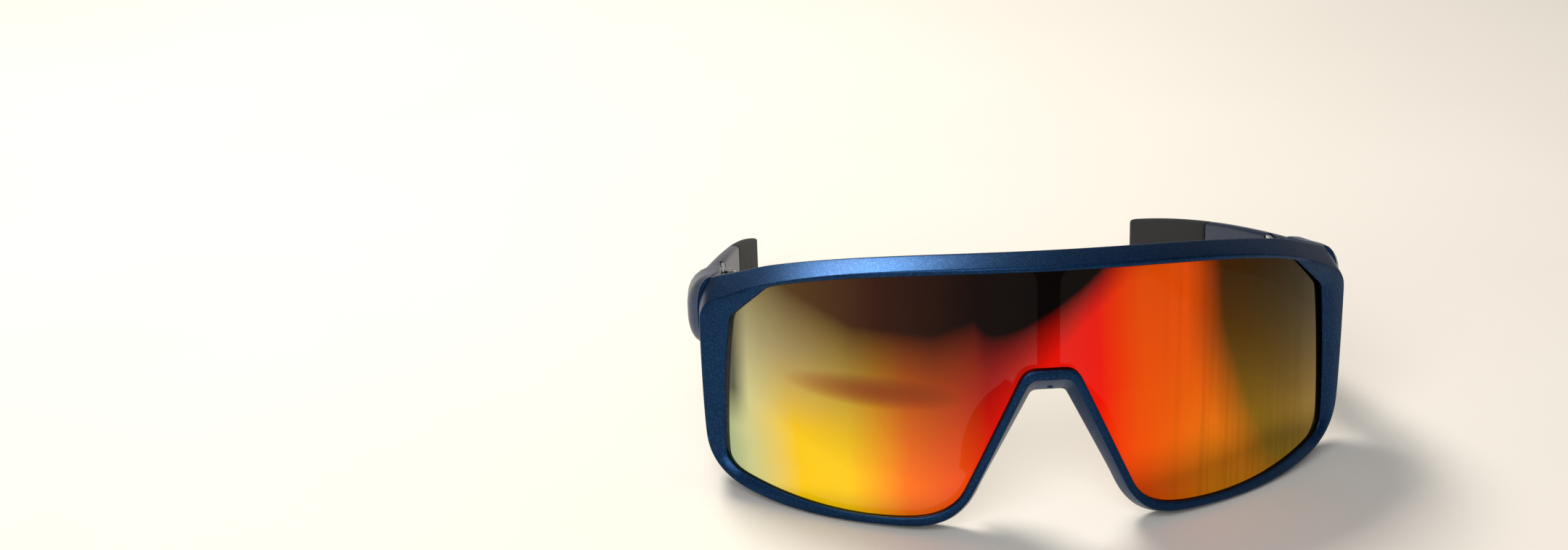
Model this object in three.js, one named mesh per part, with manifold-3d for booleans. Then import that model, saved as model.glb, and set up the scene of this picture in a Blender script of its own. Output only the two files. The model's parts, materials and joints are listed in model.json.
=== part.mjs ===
// Wraparound sport sunglasses with one cylindrical shield lens and folding temples.
// Millimetres. The front is drawn upright with the lens's middle at the origin, +Y backward and +Z up,
// and the whole assembly then leans back by LEAN until it rests on its rim and temple tips at z = 0.
// Everything is drawn for the right side (+X); the left side is its mirror image.
import * as THREE from "three";
import { mergeVertices } from "three/addons/utils/BufferGeometryUtils.js";
import Module from "manifold-3d";

const wasm = await Module();
wasm.setup();

// Driving dimensions.
const LENS_RADIUS = 99; // radius of the lens cylinder, whose axis is vertical
const FRONT_RADIUS = 95; // the frame wraps a little more tightly than the lens
const LENS_THICKNESS = 2;
const LENS_SEAT = 0.6; // how far the lens reaches into the rim
const GAP = 0.3; // air between neighbouring pieces
const LEAN = THREE.MathUtils.degToRad(7.5);
const REST_LEVEL = -3.7; // height of the table plane, measured square to the table
const RIM_BACK = 4.2; // rim's back face behind the lens's front surface, at the middle
const LUG_END = 51.5; // where the frame's end pieces stop and the temples start
const HINGE_X = 65.1;
const HINGE_Y = 51.8;
const HINGE_LOW = 35.5;
const KNUCKLE_HEIGHT = 2.5;
const KNUCKLE_RADIUS = 1.7;
const PIN_RADIUS = 0.7;
const LEAF_INNER = 65.8; // inner face of the hinge leaves, x
const LEAF_THICKNESS = 0.9;
const LEAF_LENGTH = 8.3;
const TEMPLE_TIP = 146;
const SLEEVE_START = 0.5; // share of the temple's path where the rubber sleeve begins
const TONGUE_END = 0.94; // share of the path where the temple's inner tongue stops

const HINGE_HIGH = HINGE_LOW + 3 * KNUCKLE_HEIGHT + 2 * GAP;
const LEAF_OUTER = LEAF_INNER + LEAF_THICKNESS;

// Half outlines of the rim, from the brow's middle round the side and the lobe to the nose's middle.
// A point is [x, z, height proud of the front's wrap]. The first point is followed by the segments:
// one point is a straight line, two a quadratic curve and three a cubic curve.
const OPENING = [
  [0, 55.7, 1.1],
  [[25, 55.7, 1.1], [45, 54.6, 1.1], [58.6, 49.7, 1.3]], // brow
  [[63.6, 44.8, 1.7]], // upper chamfer
  [[65.1, 43.3, 1.9], [66.5, 41.9, 2]], // lower chamfer
  [[67.7, 35, 2], [68.9, 15, 1.9], [68.3, 9, 1.8]], // side
  [[67.9, 6.3, 1.7], [64.5, 5, 1.6]], // lower corner
  [[56, 1.7, 1.3], [46, 0, 1.1], [36, 0, 1.1]], // bottom
  [[29, 0.1, 1.1], [22.5, 0.2, 1.1], [18.8, 6.1, 1.1]], // lobe
  [[6.7, 31.7, 1.1]], // side of the nose opening
  [[5.6, 34, 1.1], [3.2, 34, 1.1]], // shoulder
  [[0, 34, 1.1]], // top of the nose opening
];
const CREASE = [
  [0, 56.9, 1.1],
  [[26, 56.9, 1.1], [47, 56.1, 1.2], [63.3, 48.7, 2]],
  [[70.8, 44.8, 3.4]],
  [[72.6, 43.6, 3.9], [73.3, 41, 4.2]],
  [[73.3, 33, 4.2], [73.2, 20, 4], [72.7, 13, 3.8]],
  [[72, 5.4, 3.4], [65.1, 2.2, 2.4]],
  [[57, -1.1, 1.6], [47, -1.8, 1.1], [37.5, -1.8, 1.1]],
  [[28.5, -1.8, 1.1], [22.2, -2.5, 1.1], [17.2, 5.4, 1.1]],
  [[5.7, 29.8, 1.1]],
  [[4.6, 31.9, 1.1], [2.9, 31.9, 1.1]],
  [[0, 31.9, 1.1]],
];
const OUTER = [
  [0, 59.2, -3.5],
  [[26, 59.2, -3.5], [44, 57.6, -3.5], [58.5, 53.1, -3]],
  [[69.8, 48.7, -1.6]],
  [[72.6, 46.8, -1.2], [73, 41.4, -0.6]],
  [[73, 33, -0.4], [72.9, 20, -0.4], [72.4, 13.4, -0.4]],
  [[71.8, 4.9, -0.5], [65, 1.5, -0.8]],
  [[57, -1.6, -1], [47, -2.3, -1.2], [37.8, -2.3, -1.2]],
  [[28.5, -2.2, -1.4], [19.2, -5.3, -2], [14, 8.3, -3]],
  [[4.1, 27.3, -3]],
  [[3.7, 28.3, -3], [2.4, 28.3, -3]],
  [[0, 28.3, -3]],
];
const SEGMENT_STEPS = [18, 2, 4, 6, 6, 12, 12, 4, 5, 2];
const SIDE_START = SEGMENT_STEPS[0] + SEGMENT_STEPS[1] + SEGMENT_STEPS[2];
const SIDE_END = SIDE_START + SEGMENT_STEPS[3];

// Geometry helpers.

// Turns a closed three.js geometry into a manifold-3d solid.
function solid(geometry) {
  const bare = geometry.clone();
  bare.deleteAttribute("normal");
  bare.deleteAttribute("uv");
  const merged = mergeVertices(bare, 1e-4);
  return new wasm.Manifold(
    new wasm.Mesh({
      numProp: 3,
      vertProperties: new Float32Array(merged.attributes.position.array),
      triVerts: new Uint32Array(merged.index.array),
    }),
  );
}

// Turns a manifold-3d solid back into a three.js geometry.
function geometryOf(body) {
  const mesh = body.getMesh();
  const geometry = new THREE.BufferGeometry();
  geometry.setAttribute("position", new THREE.BufferAttribute(new Float32Array(mesh.vertProperties), 3));
  geometry.setIndex(new THREE.BufferAttribute(new Uint32Array(mesh.triVerts), 1));
  geometry.computeVertexNormals();
  return geometry;
}

function union(...bodies) {
  return bodies.reduce((whole, body) => whole.add(body));
}

// Signed volume of an indexed mesh: negative when its faces look inward.
function signedVolume(points, index) {
  let volume = 0;
  for (let i = 0; i < index.length; i += 3) {
    const [a, b, c] = [points[index[i]], points[index[i + 1]], points[index[i + 2]]];
    volume += a.dot(b.clone().cross(c)) / 6;
  }
  return volume;
}

// Skins a row of rings with equal point counts; a closed loft joins its last ring to its first,
// and an open one gets a fan of triangles over each end.
function loft(rings, closed = false) {
  const count = rings[0].length;
  const points = rings.flat();
  const index = [];
  const spans = closed ? rings.length : rings.length - 1;
  for (let i = 0; i < spans; i++) {
    const here = i * count;
    const next = ((i + 1) % rings.length) * count;
    for (let j = 0; j < count; j++) {
      const k = (j + 1) % count;
      index.push(here + j, here + k, next + j, next + j, here + k, next + k);
    }
  }
  if (!closed) {
    const last = (rings.length - 1) * count;
    for (let j = 1; j < count - 1; j++) {
      index.push(0, j + 1, j, last, last + j, last + j + 1);
    }
  }
  if (signedVolume(points, index) < 0) {
    index.reverse();
  }
  const geometry = new THREE.BufferGeometry().setFromPoints(points);
  geometry.setIndex(index);
  return solid(geometry);
}

function box(low, high) {
  const size = high.map((value, i) => value - low[i]);
  const geometry = new THREE.BoxGeometry(...size);
  geometry.translate(...low.map((value, i) => value + size[i] / 2));
  return solid(geometry);
}

// A cylinder from one point along +Z or +X.
function rod(radius, start, length, axis = "z", sides = 24) {
  const geometry = new THREE.CylinderGeometry(radius, radius, length, sides);
  geometry.translate(0, length / 2, 0);
  if (axis === "z") {
    geometry.rotateX(Math.PI / 2);
  } else {
    geometry.rotateZ(-Math.PI / 2);
  }
  geometry.translate(...start);
  return solid(geometry);
}

// Wrap and lens.

// A point at x and z, proud of a vertical cylinder that touches the lens's middle from behind.
function onCylinder(cylinder, x, z, proud) {
  const radius = cylinder + proud;
  return new THREE.Vector3(x, cylinder - Math.sqrt(radius * radius - x * x), z);
}

// A point at x and z, proud of the front's wrap by the given height.
function wrap(x, z, proud) {
  return onCylinder(FRONT_RADIUS, x, z, proud);
}

// Samples a half outline at matching stations, as Vector3(x, proud, z).
function sample(outline) {
  const vector = ([x, z, proud]) => new THREE.Vector3(x, proud, z);
  const points = [];
  let start = vector(outline[0]);
  SEGMENT_STEPS.forEach((steps, i) => {
    const knots = outline[i + 1].map(vector);
    const curves = [THREE.LineCurve3, THREE.QuadraticBezierCurve3, THREE.CubicBezierCurve3];
    const curve = new curves[knots.length - 1](start, ...knots);
    points.push(...curve.getPoints(steps).slice(0, steps));
    start = knots[knots.length - 1];
  });
  points.push(start);
  return points;
}

// The opening's upper and lower edges for x > 0, pushed out into the rim by the given distance.
function lensEdges(reach) {
  const points = sample(OPENING);
  const pushed = points.map((point, i) => {
    const before = points[Math.max(i - 1, 0)];
    const after = points[Math.min(i + 1, points.length - 1)];
    const along = new THREE.Vector2(after.x - before.x, after.z - before.z).normalize();
    return new THREE.Vector2(point.x - along.y * reach, point.z + along.x * reach);
  });
  return { upper: pushed.slice(0, SIDE_START + 1), lower: pushed.slice(SIDE_END).reverse() };
}

// Height of an edge at x, read along straight pieces, and carried on straight past its last point.
function heightAt(edge, x) {
  let i = 1;
  while (i < edge.length - 1 && edge[i].x < x) {
    i++;
  }
  const [a, b] = [edge[i - 1], edge[i]];
  return a.y + ((x - a.x) / (b.x - a.x)) * (b.y - a.y);
}

// The lens's outline as a curved plate between two heights proud of the lens's front surface.
function lensPlate(reach, front, back) {
  const { upper, lower } = lensEdges(reach);
  const side = 68.4 + reach;
  const stations = [...upper, ...lower].map((point) => point.x).filter((x) => x > 0.5 && x < side - 0.2);
  for (let x = 2; x < side - 0.2; x += 2.5) {
    stations.push(x);
  }
  const sorted = [0, ...stations.sort((a, b) => a - b), side].filter((x, i, all) => !i || x - all[i - 1] > 0.15);
  const half = [...sorted.slice(1).reverse().map((x) => -x), ...sorted];
  return loft(
    half.map((x) => {
      const top = heightAt(upper, Math.abs(x));
      const bottom = heightAt(lower, Math.abs(x));
      const corners = [[top, front], [top, back], [bottom, back], [bottom, front]];
      return corners.map(([z, proud]) => onCylinder(LENS_RADIUS, x, z, proud));
    }),
  );
}

function shieldLens() {
  return lensPlate(LENS_SEAT, 0, -LENS_THICKNESS);
}

// Front frame.

// How far the rim's back face lies behind the front's wrap: a little less toward the sides.
function backDepth(x) {
  return -RIM_BACK + 1 * Math.min(1, Math.abs(x) / 70) ** 2;
}

// The rim's section at one station, given its three matching outline points.
function rimSection(opening, crease, outer) {
  const back = backDepth(opening.x);
  const towards = (amount) => opening.clone().lerp(crease, amount);
  const lip = towards(0.2);
  const heel = opening.clone().lerp(outer, 0.2);
  const toe = opening.clone().lerp(outer, 0.92);
  return [
    wrap(opening.x, opening.z, back + 0.6),
    wrap(opening.x, opening.z, opening.y - 0.3),
    wrap(lip.x, lip.z, lip.y),
    wrap(crease.x, crease.z, crease.y),
    wrap(outer.x, outer.z, outer.y),
    wrap(toe.x, toe.z, back),
    wrap(heel.x, heel.z, back),
  ];
}

function rim() {
  const [opening, crease, outer] = [OPENING, CREASE, OUTER].map(sample);
  const right = opening.map((point, i) => rimSection(point, crease[i], outer[i]));
  const flip = (ring) => ring.map((point) => new THREE.Vector3(-point.x, point.y, point.z));
  const left = right.slice(1, -1).reverse().map(flip);
  return loft([...right, ...left], true);
}

// A closed ring in a plane of constant y: a bar between two x and two z values with elliptical corners.
// radii are [across, up] for the upper outer, upper inner, lower inner and lower outer corner.
function barRing(y, inner, outer, low, high, radii) {
  const corners = [[outer, high, -1, -1], [inner, high, 1, -1], [inner, low, 1, 1], [outer, low, -1, 1]];
  return corners.flatMap(([x, z, right, up], i) => {
    const [across, tall] = radii[i];
    const steps = i % 2 ? [1, 0.5, 0] : [0, 0.5, 1];
    const turns = i === 0 ? [0, 1 / 3, 2 / 3, 1] : steps;
    return turns.map((turn) => {
      const angle = (turn * Math.PI) / 2;
      return new THREE.Vector3(
        x + right * across * (1 - Math.cos(angle)),
        y,
        z + up * tall * (1 - Math.sin(angle)),
      );
    });
  });
}

// The end piece that carries the brow's corner back to the hinge.
function lug() {
  const section = (y, inner, outer, low, high, shoulder) =>
    barRing(y, inner, outer, low, high, [shoulder, [0.8, 0.8], [0.8, 0.8], [2.4, 5.5]]);
  return loft([
    section(33.5, 69.6, 73.4, 32.6, 48.4, [3.3, 6.6]),
    section(38, 68.6, 75.3, 32.3, 47.9, [5.8, 6.8]),
    section(44, 67.4, 75.4, 32.8, 47, [6.4, 6.8]),
    section(LUG_END, LEAF_OUTER + GAP, 75, 33.6, 46, [6.4, 6.4]),
  ]);
}

// The strut that stands behind the lens between the brow and the nose bridge, wider where it joins the brow.
function strut() {
  const halfWidth = 2.4;
  const flare = 5;
  const foot = 30.5;
  const brow = 57.5;
  const shape = new THREE.Shape();
  shape.moveTo(-halfWidth, foot);
  shape.lineTo(halfWidth, foot);
  shape.lineTo(halfWidth, brow - flare - 1);
  shape.quadraticCurveTo(halfWidth, brow - 2, halfWidth + flare, brow - 1.5);
  shape.lineTo(halfWidth + flare, brow);
  shape.lineTo(-halfWidth - flare, brow);
  shape.lineTo(-halfWidth - flare, brow - 1.5);
  shape.quadraticCurveTo(-halfWidth, brow - 2, -halfWidth, brow - flare - 1);
  const depth = RIM_BACK - LENS_THICKNESS - GAP - 0.2;
  const geometry = new THREE.ExtrudeGeometry(shape, { depth, bevelEnabled: false, curveSegments: 6 });
  geometry.rotateX(Math.PI / 2);
  geometry.translate(0, RIM_BACK - 0.2, 0);
  return solid(geometry);
}

// The hole for the screw that holds a hinge leaf, along +X through the leaf and into the plastic.
function leafScrewHole(y, z) {
  return rod(PIN_RADIUS + 0.2, [LEAF_INNER - 1, y, z], 4.6, "x", 16);
}

function frontFrame() {
  const end = lug().subtract(leafScrewHole(FRONT_SCREW_Y, LEAF_SCREW_Z));
  const whole = union(rim(), end, end.mirror([1, 0, 0]), strut());
  const seat = lensPlate(LENS_SEAT + GAP, GAP, -LENS_THICKNESS - GAP);
  return onTable(whole.subtract(seat));
}

// Cuts a piece off flat where it stands on the table.
function onTable(body) {
  return body.trimByPlane([0, -Math.sin(LEAN), Math.cos(LEAN)], REST_LEVEL);
}

// Nose pads.

const PAD_FRONT = RIM_BACK + 1.7; // just behind the rim, which curves back at the lobes
const NOSE_FOOT = new THREE.Vector2(14.7, 8.6);
const NOSE_SHOULDER = new THREE.Vector2(4.8, 27.7);
const NOSE_NORMAL = new THREE.Vector2(0.89, 0.456);

// A plate that runs up the side of the nose opening and flares outward toward the back.
// from and to are shares of the side's height; start and reach are depths behind the rim's back face.
function noseBlade({ from, to, start, reach, flare, offset, thickness, steps }) {
  const rings = [];
  for (let i = 0; i <= steps; i++) {
    const share = i / steps;
    const swell = 0.35 + 0.65 * Math.sin(Math.PI * Math.min(0.94, Math.max(0.06, share))) ** 0.7;
    const foot = NOSE_FOOT.clone().lerp(NOSE_SHOULDER, from + (to - from) * share);
    const point = (depth, out) => {
      const spot = foot.clone().addScaledVector(NOSE_NORMAL, out);
      return new THREE.Vector3(spot.x, PAD_FRONT + depth, spot.y);
    };
    const middle = (start + reach * swell) / 2;
    rings.push([
      point(start, offset),
      point(middle, offset + flare * swell * 0.35),
      point(reach * swell, offset + flare * swell),
      point(reach * swell, offset + flare * swell + thickness),
      point(middle, offset + flare * swell * 0.35 + thickness),
      point(start, offset + thickness),
    ]);
  }
  return loft(rings);
}

function nosePad() {
  return noseBlade({
    from: -0.06, to: 0.98, start: GAP, reach: 7.4, flare: 3.7, offset: 0.3, thickness: 1.5, steps: 10,
  });
}

function nosePadArm() {
  return noseBlade({
    from: 0.2, to: 0.8, start: GAP, reach: 5.2, flare: 2.4, offset: 2.4, thickness: 1.1, steps: 5,
  });
}

// Temples.

const TEMPLE_ROOT = 7.4; // thickness at the hinge
const TEMPLE_THICKNESS = 3;

// The temple's inner face, seen from above.
const TEMPLE_PATH = new THREE.QuadraticBezierCurve(
  new THREE.Vector2(LEAF_OUTER + GAP, LUG_END + GAP),
  new THREE.Vector2(61.5, 93),
  new THREE.Vector2(53, TEMPLE_TIP),
);

function templeTop(y) {
  const run = y - LUG_END;
  return 45.2 - 0.118 * run - 0.00082 * run * run;
}

function templeHeight(share) {
  return 11.6 + 0.3 * share + 1.3 * share ** 3;
}

// How much of the thick root is left at a share of the path.
function rootLeft(share) {
  return (1 - share) ** 3;
}

// A ring of the temple's section at a share of its path, drawn in from the full section by inset.
// Its upper outer edge is a broad shoulder at the hinge that narrows to the plain edge rounding.
function templeRing(share, inset, rounding) {
  const { x: inner, y } = TEMPLE_PATH.getPoint(share);
  const outer = inner + TEMPLE_THICKNESS + (TEMPLE_ROOT - TEMPLE_THICKNESS) * rootLeft(share);
  const high = templeTop(y);
  const low = high - templeHeight(share);
  const [across, up] = [5, 5.2].map((size) => rounding + size * rootLeft(share));
  const plain = [rounding, rounding];
  const [side, level] = inset;
  return barRing(y, inner + side, outer - side, low + level, high - level, [[across, up], plain, plain, plain]);
}

// The temple's full section between two shares of its path.
function templeBar(from, to, steps) {
  const rings = [];
  for (let i = 0; i <= steps; i++) {
    rings.push(templeRing(from + ((to - from) * i) / steps, [0, 0], 1.1));
  }
  return loft(rings);
}

// The thin tongue that carries the sleeve, grown by a clearance for the sleeve's pocket.
function templeTongue(from, to, clearance) {
  const rings = [];
  const steps = 10;
  for (let i = 0; i <= steps; i++) {
    rings.push(templeRing(from + ((to - from) * i) / steps, [0.95 - clearance, 2.3 - clearance], 0.5));
  }
  return loft(rings);
}

function temple() {
  const whole = union(templeBar(0, SLEEVE_START, 12), templeTongue(SLEEVE_START - 0.02, TONGUE_END, 0));
  const leafPocket = box([60, LUG_END - 1, HINGE_LOW - 1], [LEAF_OUTER + GAP, TEMPLE_LEAF_END + 0.5, HINGE_HIGH + 1]);
  return whole.subtract(leafPocket).subtract(leafScrewHole(TEMPLE_SCREW_Y, LEAF_SCREW_Z));
}

function templeSleeve() {
  const start = SLEEVE_START + 0.004;
  const tip = 0.985;
  const ends = [templeRing(tip, [0, 0], 0.9), templeRing(1, [0.35, 1.5], 0.9)];
  const cap = loft(ends);
  const pocket = templeTongue(SLEEVE_START - 0.02, TONGUE_END + 0.01, GAP);
  return onTable(union(templeBar(start, tip, 14), cap).subtract(pocket));
}

// Hinges.

const LEAF_SCREW_Z = (HINGE_LOW + HINGE_HIGH) / 2;
const FRONT_LEAF_START = HINGE_Y - 2 - LEAF_LENGTH;
const FRONT_SCREW_Y = FRONT_LEAF_START + LEAF_LENGTH / 2;
const TEMPLE_LEAF_START = HINGE_Y + 2;
const TEMPLE_LEAF_END = TEMPLE_LEAF_START + LEAF_LENGTH;
const TEMPLE_SCREW_Y = TEMPLE_LEAF_START + LEAF_LENGTH / 2;

// One knuckle: the barrel round the pin and the web that joins it to its leaf, toward -Y or +Y.
function knuckle(low, towards) {
  const barrel = rod(KNUCKLE_RADIUS, [HINGE_X, HINGE_Y, low], KNUCKLE_HEIGHT);
  const reach = [HINGE_Y, HINGE_Y + towards * 2.5].sort((a, b) => a - b);
  const web = box([LEAF_INNER, reach[0], low], [LEAF_OUTER, reach[1], low + KNUCKLE_HEIGHT]);
  return barrel.add(web);
}

function hingeLeaf(start, knuckles, screwY) {
  const plate = box([LEAF_INNER, start, HINGE_LOW], [LEAF_OUTER, start + LEAF_LENGTH, HINGE_HIGH]);
  const bore = rod(PIN_RADIUS + 0.2, [HINGE_X, HINGE_Y, HINGE_LOW - 1], HINGE_HIGH - HINGE_LOW + 2);
  return union(plate, ...knuckles).subtract(bore).subtract(leafScrewHole(screwY, LEAF_SCREW_Z));
}

function frontHingeLeaf() {
  const upper = HINGE_LOW + 2 * (KNUCKLE_HEIGHT + GAP);
  return hingeLeaf(FRONT_LEAF_START, [knuckle(HINGE_LOW, -1), knuckle(upper, -1)], FRONT_SCREW_Y);
}

function templeHingeLeaf() {
  return hingeLeaf(TEMPLE_LEAF_START, [knuckle(HINGE_LOW + KNUCKLE_HEIGHT + GAP, 1)], TEMPLE_SCREW_Y);
}

function hingeScrew() {
  const shank = rod(PIN_RADIUS, [HINGE_X, HINGE_Y, HINGE_LOW - 0.3], HINGE_HIGH - HINGE_LOW + 0.9);
  const head = rod(1.35, [HINGE_X, HINGE_Y, HINGE_HIGH + GAP], 0.8);
  const slot = box([HINGE_X - 2, HINGE_Y - 0.2, HINGE_HIGH + GAP + 0.45], [HINGE_X + 2, HINGE_Y + 0.2, HINGE_HIGH + 2]);
  return shank.add(head).subtract(slot);
}

// A short screw along +X with its head on the leaf's inner face.
function leafScrew(y) {
  const shank = rod(PIN_RADIUS, [LEAF_INNER - 0.6, y, LEAF_SCREW_Z], 3.6, "x", 16);
  const head = rod(1.2, [LEAF_INNER - 0.9, y, LEAF_SCREW_Z], 0.6, "x", 20);
  return shank.add(head);
}

// Materials and assembly.

const finishes = {
  frame: { color: 0x1d3c68, roughness: 0.45, metalness: 0.35 },
  lens: { color: 0xd8401c, roughness: 0.05, metalness: 0.8 },
  rubber: { color: 0x15171c, roughness: 0.85, metalness: 0 },
  pad: { color: 0x23262c, roughness: 0.75, metalness: 0 },
  steel: { color: 0xa9acb0, roughness: 0.3, metalness: 1 },
};

const assembly = new THREE.Group();

function place(name, body, finish) {
  const mesh = new THREE.Mesh(geometryOf(body), new THREE.MeshStandardMaterial(finishes[finish]));
  mesh.name = name;
  assembly.add(mesh);
}

// Places a piece on the right and its mirror image on the left.
function placePair(name, body, finish) {
  place(`${name}_right`, body, finish);
  place(`${name}_left`, body.mirror([1, 0, 0]), finish);
}

place("front_frame", frontFrame(), "frame");
place("shield_lens", shieldLens(), "lens");
placePair("nose_pad", nosePad(), "pad");
placePair("nose_pad_arm", nosePadArm(), "frame");
placePair("temple", temple(), "frame");
placePair("temple_sleeve", templeSleeve(), "rubber");
placePair("front_hinge_leaf", frontHingeLeaf(), "steel");
placePair("temple_hinge_leaf", templeHingeLeaf(), "steel");
placePair("hinge_screw", hingeScrew(), "steel");
placePair("front_leaf_screw", leafScrew(FRONT_SCREW_Y), "steel");
placePair("temple_leaf_screw", leafScrew(TEMPLE_SCREW_Y), "steel");

// Lean the assembly back, stand it on z = 0 and centre it front to back.
assembly.rotation.x = -LEAN;
assembly.position.z = -REST_LEVEL;
assembly.updateMatrixWorld(true);
const extent = new THREE.Box3().setFromObject(assembly, true);
assembly.position.y = -(extent.min.y + extent.max.y) / 2;

export default assembly;
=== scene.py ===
"""Looks of the wraparound sport sunglasses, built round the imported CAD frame.

Shapes are drawn in millimetres in the upright frame of the front: x to the viewer's right, y backward
from the lens's middle and z up along the lens. row() carries such a point into the row frame, in metres.
"""
import json
import math

import bmesh
import bpy
from mathutils import Matrix, Vector


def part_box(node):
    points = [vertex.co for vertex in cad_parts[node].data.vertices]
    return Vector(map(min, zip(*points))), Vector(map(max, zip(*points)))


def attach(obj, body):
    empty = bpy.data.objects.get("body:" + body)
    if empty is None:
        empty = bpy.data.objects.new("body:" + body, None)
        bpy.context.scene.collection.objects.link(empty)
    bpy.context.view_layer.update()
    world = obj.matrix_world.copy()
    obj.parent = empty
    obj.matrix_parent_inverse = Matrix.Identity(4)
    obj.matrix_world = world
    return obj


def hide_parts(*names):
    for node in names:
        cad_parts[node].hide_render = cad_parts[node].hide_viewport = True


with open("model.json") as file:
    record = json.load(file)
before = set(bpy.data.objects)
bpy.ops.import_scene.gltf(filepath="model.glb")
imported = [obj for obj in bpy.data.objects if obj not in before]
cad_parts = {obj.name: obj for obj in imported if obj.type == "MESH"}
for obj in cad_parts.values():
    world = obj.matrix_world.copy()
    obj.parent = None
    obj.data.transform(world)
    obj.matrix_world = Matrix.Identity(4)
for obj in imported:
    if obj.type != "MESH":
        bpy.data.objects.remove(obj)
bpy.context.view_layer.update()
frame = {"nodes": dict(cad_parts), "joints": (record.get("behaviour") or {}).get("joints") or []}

# The upright frame's place in the row frame, from the lean and the right hinge's axis.
LEAN = math.radians(7.5)
HINGE = Vector((65.1, 51.8, 40.0))
HINGE_JOINT = next(j for j in frame["joints"] if j["name"] == "right_temple_fold")
TURN_BACK = Matrix.Rotation(-LEAN, 3, "X")
ORIGIN = Vector(HINGE_JOINT["pos_m"]) - TURN_BACK @ (HINGE / 1000)

# Sizes shared with the CAD part, in millimetres.
LENS_RADIUS = 99.0
FRONT_RADIUS = 95.0
LENS_THICKNESS = 2.0
LENS_SEAT = 0.6  # how far the lens reaches into the rim's groove
OPENING_HALF_WIDTH = 68.4
GAP = 0.3  # between neighbouring pieces
RIM_BACK = 4.2
LUG_END = 51.5
LEAF_OUTER = 66.7
LEAF_END = 62.1  # of the leaf in the temple
TEMPLE_TIP = 146.0
SLEEVE_START = 0.5  # this and the next are shares of the temple's path
TONGUE_END = 0.94
RIGHT, LEFT = 1, -1

SHARP = math.radians(42)  # faces that meet at a greater angle keep a crisp edge
LENS_SHARP = math.radians(35)  # the same for the lens


def row(x, y, z):
    """A point of the upright frame, in the row frame."""
    return TURN_BACK @ (Vector((x, y, z)) / 1000) + ORIGIN


def depth_on(cylinder, x, proud):
    """The y of a point at x, proud of a vertical cylinder that touches the lens's middle from behind."""
    radius = cylinder + proud
    return cylinder - math.sqrt(radius * radius - x * x)


def wrap(x, z, proud):
    """A point at x and z, proud of the front's wrap by the given height."""
    return row(x, depth_on(FRONT_RADIUS, x, proud), z)


def over_wrap(x, proud):
    """How proud of the front's wrap a point is that is proud of the lens by the given height."""
    return math.hypot(x, FRONT_RADIUS - depth_on(LENS_RADIUS, x, proud)) - FRONT_RADIUS


# --- Mesh helpers ---------------------------------------------------------------------------------


def make_object(name, mesh):
    """A mesh as an object in the scene."""
    piece = bpy.data.objects.new(name, mesh)
    bpy.context.scene.collection.objects.link(piece)
    return piece


def loft(name, rings, closed=False):
    """A skin over a row of rings with equal point counts, smooth shaded, with its faces outward."""
    bm = bmesh.new()
    loops = [[bm.verts.new(point) for point in ring] for ring in rings]
    pairs = list(zip(loops, loops[1:]))
    if closed:
        pairs.append((loops[-1], loops[0]))
    for here, there in pairs:
        for i in range(len(here)):
            k = (i + 1) % len(here)
            bm.faces.new((here[i], here[k], there[k], there[i]))
    if not closed:
        bm.faces.new(loops[0])
        bm.faces.new(loops[-1])
    bmesh.ops.recalc_face_normals(bm, faces=bm.faces)
    mesh = bpy.data.meshes.new(name)
    bm.to_mesh(mesh)
    bm.free()
    mesh.shade_smooth()
    mesh.set_sharp_from_angle(angle=SHARP)
    return make_object(name, mesh)


def rounded(corners, steps=3):
    """A closed ring through corners given as (point, radius), each corner turned by a short curve."""
    ring = []
    count = len(corners)
    for i, (point, radius) in enumerate(corners):
        before = corners[i - 1][0]
        after = corners[(i + 1) % count][0]
        start = point + (before - point) * min(0.45, radius / max((before - point).length, 1e-6))
        end = point + (after - point) * min(0.45, radius / max((after - point).length, 1e-6))
        for k in range(steps + 1):
            t = k / steps
            ring.append(start * (1 - t) ** 2 + point * 2 * t * (1 - t) + end * t * t)
    return ring


def bezier(knots, t):
    """A point on the straight, quadratic or cubic curve through its knots."""
    points = list(knots)
    while len(points) > 1:
        points = [a.lerp(b, t) for a, b in zip(points, points[1:])]
    return points[0]


def cut_box(piece, side, low, high):
    """Cuts a box, given by two corners in the upright frame, out of a piece on one side."""
    cutter = bmesh.new()
    outline = [(low[0], low[1]), (high[0], low[1]), (high[0], high[1]), (low[0], high[1])]
    corners = [cutter.verts.new(row(side * x, y, z)) for z in (low[2], high[2]) for x, y in outline]
    cutter.faces.new(corners[:4])
    cutter.faces.new(corners[4:])
    for i in range(4):
        k = (i + 1) % 4
        cutter.faces.new((corners[i], corners[k], corners[k + 4], corners[i + 4]))
    bmesh.ops.recalc_face_normals(cutter, faces=cutter.faces)
    mesh = bpy.data.meshes.new("cutter")
    cutter.to_mesh(mesh)
    cutter.free()
    tool = make_object("cutter", mesh)
    difference = piece.modifiers.new("pocket", "BOOLEAN")
    difference.operation = "DIFFERENCE"
    difference.solver = "EXACT"
    difference.object = tool
    bpy.context.view_layer.objects.active = piece
    bpy.ops.object.modifier_apply(modifier=difference.name)
    bpy.data.objects.remove(tool)
    piece.data.set_sharp_from_angle(angle=SHARP)
    return piece


def finish_piece(piece, body, material, replaced):
    """Gives a piece its material and its body, and hides the CAD nodes that it stands for."""
    if material:
        piece.data.materials.clear()
        piece.data.materials.append(material)
    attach(piece, body)
    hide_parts(*replaced)


# --- Outlines -------------------------------------------------------------------------------------

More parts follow.
